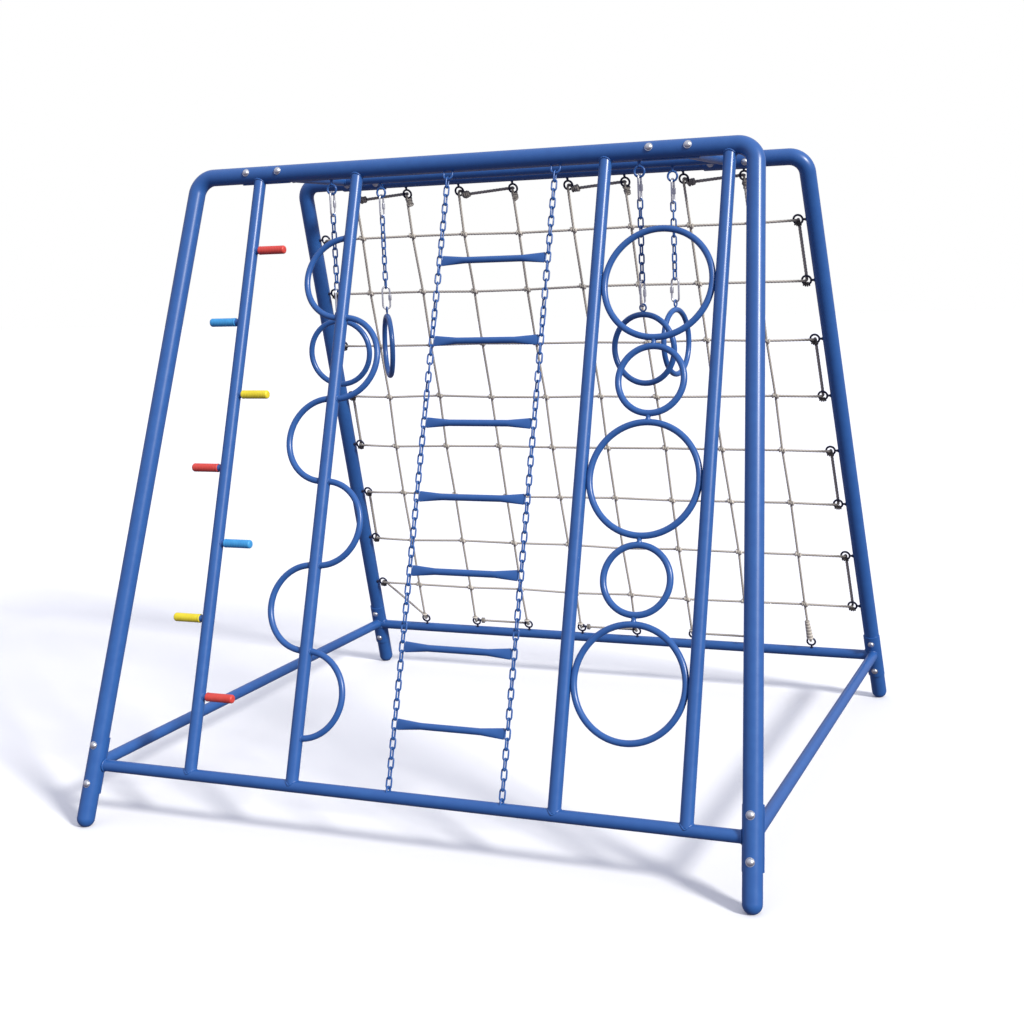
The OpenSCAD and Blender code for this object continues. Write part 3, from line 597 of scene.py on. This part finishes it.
stapleSection = circleProfile(c["stapleWire"] / 2, 12)
topStaple = carry(staplePath(c["stapleRadius"], c["stapleLeg"]), stapleSection, (0, 1, 0))
lowStaple = carry(staplePath(c["lowStapleRadius"], c["lowStapleLeg"]), stapleSection, (0, 1, 0))
sideX = [c["x"] - c["gap"] / 2, c["x"] + c["gap"] / 2]
topZ = c["stapleRadius"] - c["stapleDrop"]
lowZ = c["stapleRise"] - c["lowStapleRadius"] - planeLength
hung, standing = topStaple[0] * [1, 1, -1], turnZ(lowStaple[0], math.pi / 2)
paintedPiece("bar_staples", [(onPlane(hung + [x, 0, topZ]), topStaple[1]) for x in sideX], "top_staples")
paintedPiece("rail_staples", [(onPlane(standing + [x, 0, lowZ]), lowStaple[1]) for x in sideX],
             "bottom_staples")
print("ladder done:", linkCount, "links a side,", rungCount, "rungs")


# rope net

netSizes = dict(count=8, eyeWire=8.0, eyeOuter=42.0, neck=8.0, shank=4.5, weld=7.0, ropeRadius=5.0, layMm=40.0,
                stepMm=4.0)
# how dark the rope is drawn: the rows and, darker, the columns, the tight runs behind the eyes, near the eyes,
# and painted shade in the grooves of the lay; the low runs stay light
shadeAndSoilLook = dict(rows=0.02, columns=0.18, behind=0.42, nearEye=0.6, reachMm=45, groove=0.4, lightBelowMm=250)
n = netSizes
steps = n["count"] + 1
lace = 2 * n["ropeRadius"] * math.cos(math.radians(30)) / 2 + n["eyeWire"] / 2 + 0.3
order = np.arange(1, n["count"] + 1)
drop = planeLength * order / steps
eyeOut = n["neck"] + n["eyeOuter"] / 2
legReach = (mainRadius + eyeOut) / math.cos(splay)
sideAt = halfTop + (halfFoot - halfTop) * drop / slant - legReach
zero = np.zeros(n["count"])
rightEyes = np.stack([sideAt, zero, -drop], -1)
leftEyes = rightEyes * [-1, 1, 1]
topEyes = np.stack([-halfTop + order * 2 * halfTop / steps, zero, zero - mainRadius - eyeOut], -1)
lowEyes = np.stack([-railX + order * 2 * railX / steps, zero, zero + railRadius + eyeOut - planeLength], -1)
eyeRadius = (n["eyeOuter"] - n["eyeWire"]) / 2
eyeRing = roundRing(eyeRadius, n["eyeWire"], 28, 12)
# the shank is flared by its weld
shank = revolve([[n["shank"], eyeRadius], [n["shank"], eyeOut - 3],
                 [n["weld"], eyeOut + 0.3], [n["weld"], eyeOut + 3]], 16)


def turnY(p, angle):  # turn points about Y by angle, Z towards X
    ca, sa = math.cos(angle), math.sin(angle)
    return np.stack([p[..., 0] * ca + p[..., 2] * sa, p[..., 1], -p[..., 0] * sa + p[..., 2] * ca], -1)


eyeSides = [("top", topEyes, 0), ("bottom", lowEyes, 180), ("left", leftEyes, -90), ("right", rightEyes, 90)]
for label, eyes, way in eyeSides:
    shapes = [(onPlane(eyeRing[0] + e, True), eyeRing[1]) for e in eyes]
    shapes += [(onPlane(turnY(shank[0], math.radians(way)) + e, True), shank[1]) for e in eyes]
    makePiece(f"welded_eyes_{label}", shapes, "frame", deepPaint, [f"net_eyes_{label}"])

# crossings lie where row and column meet, each pulled a few mm off by the knot
share = (topEyes[None, :, 2] - rightEyes[:, None, 2]) / (topEyes[None, :, 2] - lowEyes[None, :, 2])
crossX = topEyes[None, :, 0] + (lowEyes[None, :, 0] - topEyes[None, :, 0]) * share
crossZ = np.broadcast_to(rightEyes[:, None, 2], crossX.shape)
pulled = rng.uniform(-1, 1, crossX.shape + (3,)) * [5, 0.6, 5]
crossings = np.stack([crossX, 0 * crossX + lace, crossZ], -1) + pulled
front, back = np.array([0, lace, 0]), np.array([0, -lace, 0])


def lacedPath(corners):
    # rounds every corner with a parabola 12 mm from the corner at most, then spaces points evenly
    p = np.asarray(corners, float)
    inner = p[1:-1]
    before, after = p[:-2] - inner, p[2:] - inner
    cut = lambda v: inner + v * np.minimum(0.45, 12.0 / np.linalg.norm(v, axis=1))[:, None]
    start, end = cut(before), cut(after)
    t = np.linspace(0, 1, 7)[None, :, None]
    bend = (1 - t) ** 2 * start[:, None] + 2 * t * (1 - t) * inner[:, None] + t ** 2 * end[:, None]
    line = np.concatenate([p[:1], bend.reshape(-1, 3), p[-1:]])
    along = np.r_[0, np.cumsum(np.linalg.norm(np.diff(line, axis=0), axis=1))]
    even = np.linspace(0, along[-1], int(along[-1] / n["stepMm"]))
    return np.stack([np.interp(even, along, line[:, k]) for k in range(3)], -1), even


allEyes = np.concatenate([topEyes, lowEyes, leftEyes, rightEyes])


def laidTube(corners, base):
    # three lobes r = R (0.8 + 0.24 |cos 1.5 f|) whose angle turns once in a lay length, a fifth thicker on
    # the tight runs behind the eyes; the darkening is base, more on those runs, near the eyes, and painted
    # shade by 1 - |cos 1.5 f| in the grooves of the lay
    path, along = lacedPath(corners)
    f = np.linspace(0, 2 * np.pi, 12, endpoint=False)
    turn = 2 * np.pi * along / n["layMm"]
    lay = np.abs(np.cos(1.5 * (f[None] - turn[:, None])))
    behind = np.clip((lace - path[:, 1:2]) / (2 * lace), 0, 1)
    behind = behind * (path[:, 2:] > shadeAndSoilLook["lightBelowMm"] - planeLength)  # the low runs stay light
    reach = np.linalg.norm(path[:, None] - allEyes[None], axis=2).min(1)[:, None]
    lobe = n["ropeRadius"] * (0.80 + 0.24 * lay) * (1 + 0.2 * behind)
    profile = np.stack([lobe * np.cos(f), lobe * np.sin(f)], -1)
    nearEye = shadeAndSoilLook["nearEye"] * np.exp(-(reach / shadeAndSoilLook["reachMm"]) ** 2)
    soilAndShade = np.maximum(base + (shadeAndSoilLook["behind"] - base) * behind, nearEye)
    # painted shade in the grooves of the lay
    soilAndShade = soilAndShade + shadeAndSoilLook["groove"] * (1 - lay) * (1 - behind)
    return *carry(path, profile, unit(np.array([0.5, 0.62, 0.6]))), np.clip(soilAndShade, 0, 0.9)


rowRoute, columnRoute = [], []
for i in range(n["count"]):
    run = np.concatenate([[leftEyes[i] + front], crossings[i], [rightEyes[i] + front]])
    ends = [leftEyes[i], rightEyes[i]]
    if i % 2 == 1:
        run, ends = run[::-1], ends[::-1]
    rowRoute += [ends[0] + back, *run, ends[1] + back]
rowRoute[0] = leftEyes[0] + back + [0, 0, -34]
rowRoute += [lowEyes[0] + back]
for j in range(n["count"]):
    run = np.concatenate([[topEyes[j] + front], crossings[:, j], [lowEyes[j] + front]])
    ends = [topEyes[j], lowEyes[j]]
    if j % 2 == 0:
        run, ends = run[::-1], ends[::-1]
    columnRoute += [ends[0] + back, *run, ends[1] + back]
    if j % 2 == 0:
        columnRoute.append(topEyes[j] + back + [30, 0, -16])  # the run to the next eye starts low, from a hitch
columnRoute[-1] = lowEyes[-1] + back + [0, 0, 34]
ropeLength = sum(lacedPath(r)[1][-1] for r in (rowRoute, columnRoute))
for label, route, nodes in (("rows", rowRoute, ["net_rope"]), ("columns", columnRoute, ())):
    grid, faces, soilAndShade = laidTube(route, shadeAndSoilLook[label])
    makePiece(f"net_rope_{label}", [(onPlane(grid, True), faces)], "frame", rope, nodes, soilAndShade)

# turns of rope: light ones at the crossings and low eyes, and hitches where the runs are tied
# to the other eyes, drawn dark with painted shade
a = np.linspace(0, 2 * np.pi, 16, endpoint=False)
wrap = carry(np.stack([np.cos(a), np.sin(a), 0.2 * np.sin(a)], -1), circleProfile(1.0, 8), (0, 0, 1), True)
knots, knotShadeAndSoil = [], []


def addTurn(at, lay, radius, strand, soilAndShade):
    # one turn of strand about an axis that is turned from up by lay: the circle's points times radius,
    # with the strand's own section on top
    ring = wrap[0].mean(1, keepdims=True)
    knots.append((onPlane(turnY(ring * radius + (wrap[0] - ring) * strand, lay) + at, True), wrap[1]))
    knotShadeAndSoil.append(np.broadcast_to(np.reshape(soilAndShade, (-1, 1)), wrap[0].shape[:2]))


lashings = [dict(at=(-9.0, 0, 2.0), radius=7.0, strand=4.2), dict(at=(8.5, 0, -2.0), radius=6.5, strand=4.0)]
turnSizes = dict(across=(8.5, 3.2), low=(9.0, 4.0), lowTie=(9.0, 4.2), foot=(6.2, 3.0))  # radius and strand
for place in crossings.reshape(-1, 3):  # lashed on both sides along the row, with one turn across
    for turn in lashings:
        lay = math.pi / 2 + rng.uniform(-0.4, 0.4)
        soilAndShade = 0.35 * np.cos(a + rng.uniform(0, 6)) ** 4
        addTurn(place + turn["at"], lay, turn["radius"], turn["strand"], soilAndShade)
    addTurn(place, 0.8 + rng.uniform(-0.3, 0.3), *turnSizes["across"], 0.55)
# beside the first eye of a pair, along the run, and straight below the second
hitches = [dict(rise=78, at=(25, 0, -15)), dict(rise=176, at=(3, 0, -30))]
for j in range(n["count"]):
    hitch = hitches[j % 2]
    rise = math.radians(hitch["rise"])
    along = np.array([math.sin(rise), 0, math.cos(rise)])
    for step in (-10.0, -2.0, 6.0, 13.0):
        # each hitch turn is drawn dark: painted shade
        lay, radius, soilAndShade = rise + rng.uniform(-0.4, 0.4), rng.uniform(8.0, 11.5), rng.uniform(0.5, 0.75)
        addTurn(topEyes[j] + hitch["at"] + step * along, lay, radius, 4.6, soilAndShade)
    addTurn(lowEyes[j] + front + [0, 0, 25], 0.1, *turnSizes["low"], 0.15)
    if j % 2 == 1 and j < n["count"] - 1:
        for step in (26.0, 33.0):
            addTurn(lowEyes[j] + back + [step, 0, 0], math.pi / 2, *turnSizes["lowTie"], 0.7)
for e in np.concatenate([leftEyes, rightEyes]):  # the side runs are hitched round the foot of each eye
    for turn in np.radians([-125, -105, -85, -65]):
        at = e + eyeRadius * np.array([math.cos(turn), 0, math.sin(turn)])
        addTurn(at, -turn, *turnSizes["foot"], rng.uniform(0.85, 1.0))
tail = unit(crossings[-1, -1] - lowEyes[-1])
tailLay = math.atan2(tail[0], tail[2])
for step in np.arange(12):  # the last end is wrapped up the column, thinner as it climbs
    at = lowEyes[-1] + front + tail * (24 + 7.5 * step)
    addTurn(at, tailLay, 10.4 - 0.36 * step, 4.2, 0.45 * (step % 2))
makePiece("net_lashings", knots, "frame", rope, (), np.concatenate([k.ravel() for k in knotShadeAndSoil]))
print("net done, rope length", round(ropeLength / 1000, 2), "m")


# hand rings on chains

handSizes = dict(x=590.0, turn=(4.0, -55.0, -12.0, 84.0), eyeDrop=55.0, eyeRadius=17.5, eyeWire=8.0, hang=0.7,
                 quickLength=80.0, quickWidth=22.0, quickWire=7.0, links=9, ringEyeRadius=12.0,
                 ringEyeWire=6.0, ringOuter=254.0, ringBar=20.0, sink=2.0, stem=5.0, stemWeld=7.5,
                 sleeve=22.0, bevel=1.2, thread=10.0, pitch=1.25)
h = handSizes
hookTop = h["eyeWire"] / 2 + h["hang"]
chainTop = hookTop - h["quickLength"] + h["hang"]
lowHookTop = chainTop - h["links"] * (c["inner"] - h["hang"])
ringEyeZ = lowHookTop - h["quickLength"] + h["hang"] - h["ringEyeRadius"] + h["ringEyeWire"] / 2
ringZ = ringEyeZ - h["ringEyeRadius"] - h["ringEyeWire"] / 2 - h["ringOuter"] / 2 + h["sink"]


def hexSleeve(radius, length, bevel):
    # a six-sided nut on Z with eased corners, r / cos of the angle from each flat's middle
    z = np.array([-length / 2, -length / 2 + bevel, length / 2 - bevel, length / 2])
    t = np.linspace(0, 2 * np.pi, 36, endpoint=False)
    flat = radius * math.cos(math.pi / 6) / np.cos((t + math.pi / 6) % (math.pi / 3) - math.pi / 6)
    r = np.stack([np.minimum(flat, radius * 0.9), flat, flat, np.minimum(flat, radius * 0.9)])
    grid = np.stack([r * np.cos(t), r * np.sin(t), np.broadcast_to(z[:, None], r.shape)], -1)
    return grid, gridFaces(*grid.shape[:2], False)


quickPath = linkPath(h["quickLength"], h["quickWidth"], h["quickWire"], 14)
quickLoop = carry(quickPath, circleProfile(h["quickWire"] / 2, 14), (0, 1, 0), True)
quickX = (h["quickWidth"] + h["quickWire"]) / 2
sleeve = hexSleeve(h["quickWire"] / 2 + 3, h["sleeve"], h["bevel"])
threadZ = np.linspace(h["sleeve"] / 2, h["sleeve"] / 2 + h["thread"], 41)
threadRadius = h["quickWire"] / 2 + 0.35 + 0.3 * np.cos(2 * np.pi * threadZ / h["pitch"])
thread = revolve(np.stack([threadRadius, threadZ], -1), 16)
quickLink = [quickLoop, (sleeve[0] + [quickX, 0, 0], sleeve[1]), (thread[0] + [quickX, 0, 0], thread[1])]
barEye = roundRing(h["eyeRadius"], h["eyeWire"], 40, 14)
stemTop = h["eyeDrop"] - tieRadius
stem = revolve([[h["stem"], h["eyeRadius"] - 1.0], [h["stem"], stemTop - 3],
                [h["stemWeld"], stemTop + 0.5]], 20)
ringEye = roundRing(h["ringEyeRadius"], h["ringEyeWire"], 32, 12)
handRing = roundRing((h["ringOuter"] - h["ringBar"]) / 2, h["ringBar"], 96, 24)
eyes = []
for k in range(4):
    eyeAt = np.array([-h["x"] if k < 2 else h["x"], handTubeY * (-1) ** (k + 1), barHeight - h["eyeDrop"]])
    pivot = eyeAt - [0, 0, h["eyeRadius"]]
    eyes += [(grid + eyeAt, faces) for grid, faces in (barEye, stem)]
    twist = lambda part: math.radians(h["turn"][k]) * part / (h["links"] + 2)
    hooks = []
    for turn, top in ((0.0, hookTop), (twist(h["links"] + 1), lowHookTop)):
        at = pivot + [0, 0, top - h["quickLength"] / 2]
        hooks += [(turnZ(g, turn + math.pi / 2) + at, f) for g, f in quickLink]
    makePiece(f"quick_link_pair_{k + 1}", hooks, f"hanger_{k + 1}", zinc, [f"quick_links_{k + 1}"])
    number = np.arange(h["links"])
    turns = np.array([twist(i + 1) for i in number]) + np.where(number % 2 == 0, 0, math.pi / 2)
    heights = chainTop - c["inner"] / 2 - number * (c["inner"] - h["hang"])
    chain = [(g + pivot, f) for g, f in linkCopies(link, turns, heights)]
    makePiece(f"hanger_links_{k + 1}", chain, f"hanger_{k + 1}", paint, [f"hanger_chain_{k + 1}"])
    faceTurn = twist(h["links"] + 2)
    parts = []
    for (grid, faces), z in ((ringEye, ringEyeZ), (handRing, ringZ)):
        parts.append((turnZ(grid, faceTurn) + [0, 0, z] + pivot, faces))
    makePiece(f"hand_ring_bar_{k + 1}", parts, f"ring_{k + 1}", paint, [f"hand_ring_{k + 1}"])
paintedPiece("hanging_eyes", eyes, "bar_eyes")
print("hand rings done")


# weld beads

def weldBead(point, direction, radius, axisPoint, axis, axisRadius, root, throat=3.2):
    # a rippled bead along the curve where a tube meets a round bar: on the tube's surface the distance s
    # along the tube solves |p + s d - q|^2 - ((p + s d - q).a)^2 = R^2, and root picks the near side
    d, a = unit(np.asarray(direction, float)), unit(np.asarray(axis, float))
    u = unit(np.cross(d, [0.3, 0.5, 0.81]))
    v = np.cross(d, u)
    t = np.linspace(0, 2 * np.pi, 72, endpoint=False)[:, None]
    w = np.asarray(point, float) - np.asarray(axisPoint, float) + radius * (np.cos(t) * u + np.sin(t) * v)
    k = 1 - (d @ a) ** 2
    b = w @ d - (w @ a) * (d @ a)
    e = (w * w).sum(1) - (w @ a) ** 2 - axisRadius ** 2
    s = (-b + root * np.sqrt(np.maximum(b * b - k * e, 0))) / k
    path = w + s[:, None] * d + np.asarray(axisPoint, float)
    ripple = throat * (1 + 0.10 * np.cos(18 * t))
    return carry(path, circleProfile(1.0, 8)[None] * ripple[..., None], d, True)


def planePoint(x, z):  # a point of the front face
    return onPlane(np.array([x, 0.0, z]))


# where a tube is as wide as what it meets, the bead's curve is drawn a little inside the tube
beads, thinBead = [], 2.2
barAxis = np.array([1.0, 0, 0])
poleWay = unit(planePoint(0, -1000.0) - planePoint(0, 0.0))
for x in poleSizes.values():
    top, low = planePoint(x, 0.0), planePoint(x, -planeLength)
    beads.append(weldBead(top, poleWay, poleRadius, top, barAxis, mainRadius, 1))
    beads.append(weldBead(low, poleWay, poleRadius - 1.2, low, barAxis, railRadius, -1))
for i in range(pegSizes["count"]):
    at = planePoint(pegSizes["poleX"], -pegSizes["first"] - i * pegSizes["pitch"])
    out = 1 if i % 2 == 0 else -1
    beads.append(weldBead(at, barAxis, pegSizes["studRadius"], at, poleWay, poleRadius, out, thinBead))
for i in range(loopSizes["count"]):
    for end in (0, 1):
        at = planePoint(loopSizes["poleX"], -loopSizes["first"] - (i + end) * loopSizes["pitch"])
        out = -1 if i % 2 == 0 else 1
        beads.append(weldBead(at, barAxis, loopBar, at, poleWay, poleRadius, out, thinBead))
saddleOuter = saddleSizes["outer"]
for side in (-1, 1):
    tieAt = np.array([side * tieOffset, 0, barHeight])
    for y in (-1, 1):
        bar = tieAt + [0, y * frameSizes["topDepth"] / 2, 0]
        beads.append(weldBead(tieAt, (0, 1, 0), tieRadius, bar, barAxis, saddleOuter, -y))
        at = np.array([0, y * handTubeY, barHeight])
        beads.append(weldBead(at, barAxis, tieRadius - 0.6, tieAt, (0, 1, 0), tieRadius, -side))
    for rear in (False, True):
        foot, top = onLeg(np.zeros(3), side, rear), onLeg(np.array([0, 0, 1000.0]), side, rear)
        at = onArch(np.array([0, frameSizes["railInset"], frameSizes["railUp"]]), rear)
        beads.append(weldBead(at, barAxis, railRadius, foot, top - foot, saddleOuter, -side))
        at = np.array([side * railX, 0, railZ])
        beads.append(weldBead(at, (0, 1, 0), railRadius, foot, top - foot, saddleOuter, -1 if rear else 1))
paintedPiece("weld_beads", beads)
print("weld beads done:", len(beads))


# floor, light, camera

stageLook = dict(floor="#f4f4f4", below=0.18, above=0.9, ground="#e6dcfa", sky="#e9eeff", backdrop=1.0)
floorMesh = bpy.data.meshes.new("floor")
half = 40.0  # metres
corners = [(-half, -half, 0), (half, -half, 0), (half, half, 0), (-half, half, 0)]
floorMesh.from_pydata(corners, [], [(0, 1, 2, 3)])
floor = bpy.data.objects.new("floor", floorMesh)
bpy.context.scene.collection.objects.link(floor)
floorFinish, tree, place = startFinish("pale_painted_floor")  # matt white studio floor with a very slow tone
slow = addNode(tree, "ShaderNodeTexNoise", {"Vector": place, "Scale": 0.6})
tone = mixTones(tree, slow.outputs[0], linear(stageLook["floor"]), linear("#fbfbfa"))
endFinish(tree, addNode(tree, "ShaderNodeBsdfPrincipled", {"Base Color": tone, "Roughness": 0.8}))
floorMesh.materials.append(floorFinish)
floor.visible_diffuse = floor.visible_glossy = False  # throws no light back up, so undersides stay deep

# studio sky: bright overhead and dim below, so that tubes keep a light and a dark side, and plain white
# where the camera sees it
world = bpy.data.worlds.new("studio")
bpy.context.scene.world = world
world.use_nodes = True
sky = world.node_tree
ray = addNode(sky, "ShaderNodeLightPath").outputs["Is Camera Ray"]
way = addNode(sky, "ShaderNodeSeparateXYZ", {0: addNode(sky, "ShaderNodeTexCoord").outputs["Generated"]})
height = addNode(sky, "ShaderNodeMapRange", {0: way.outputs[2], 1: -0.5, 2: 0.9}).outputs[0]
dome = addNode(sky, "ShaderNodeMapRange", {0: height, 3: stageLook["below"], 4: stageLook["above"]})
glow = addNode(sky, "ShaderNodeMapRange", {0: ray, 3: dome.outputs[0], 4: stageLook["backdrop"]})
air = mixTones(sky, height, linear(stageLook["ground"]), linear(stageLook["sky"]))
tint = mixTones(sky, ray, air, linear("#ffffff"))
sky.links.new(tint, sky.nodes["Background"].inputs[0])
sky.links.new(glow.outputs[0], sky.nodes["Background"].inputs[1])

# key light from the right
sunLook = dict(toward=(-0.7772, 0.3526, -0.5211), strength=3.5, spread=10.0, tint="#fffdfa")
sun = bpy.data.lights.new("key", "SUN")
sun.energy, sun.angle = sunLook["strength"], math.radians(sunLook["spread"])
sun.color = linear(sunLook["tint"])[:3]
key = bpy.data.objects.new("key", sun)
key.location = (4.0, -5.0, 6.0)
bpy.context.scene.collection.objects.link(key)
bpy.context.scene.view_settings.view_transform = "Standard"  # shows the hex colours as they are


def aimAt(obj, target):  # -Z of the object looks at the target, Y up
    forward = unit(np.asarray(target, float) - np.asarray(obj.location))
    side = unit(np.cross(forward, [0, 0, 1.0]))
    setAxes(obj, side, np.cross(side, forward), forward)


def setAxes(obj, side, up, forward):
    m = np.eye(4)
    m[:3, 0], m[:3, 1], m[:3, 2], m[:3, 3] = side, up, -forward, np.asarray(obj.location)
    obj.matrix_world = Matrix(m.tolist())


aimAt(key, np.array(key.location) + np.array(sunLook["toward"]))

# the photograph's own station: place in metres, angles in radians, focal length in pixels of a 1024 frame
shot = dict(place=(2.17388, -5.01845, 1.85632), yaw=0.38092, pitch=-0.13028, roll=-0.03553,
            focal=1487.014, centre=(552.615, 456.449), frame=1024)
camera = bpy.data.cameras.new("camera")
camera.sensor_width = 36.0
camera.lens = shot["focal"] / shot["frame"] * camera.sensor_width
camera.shift_x = (shot["frame"] / 2 - shot["centre"][0]) / shot["frame"]
camera.shift_y = (shot["centre"][1] - shot["frame"] / 2) / shot["frame"]
station = bpy.data.objects.new("camera", camera)
station.location = shot["place"]
bpy.context.scene.collection.objects.link(station)
cy, sy, cp, sp = math.cos(shot["yaw"]), math.sin(shot["yaw"]), math.cos(shot["pitch"]), math.sin(shot["pitch"])
forward = np.array([-sy * cp, cy * cp, sp])
level = np.array([cy, sy, 0.0])
upright = np.cross(level, forward)
cr, sr = math.cos(shot["roll"]), math.sin(shot["roll"])
setAxes(station, cr * level + sr * upright, -sr * level + cr * upright, forward)
bpy.context.scene.camera = station
print("camera set")
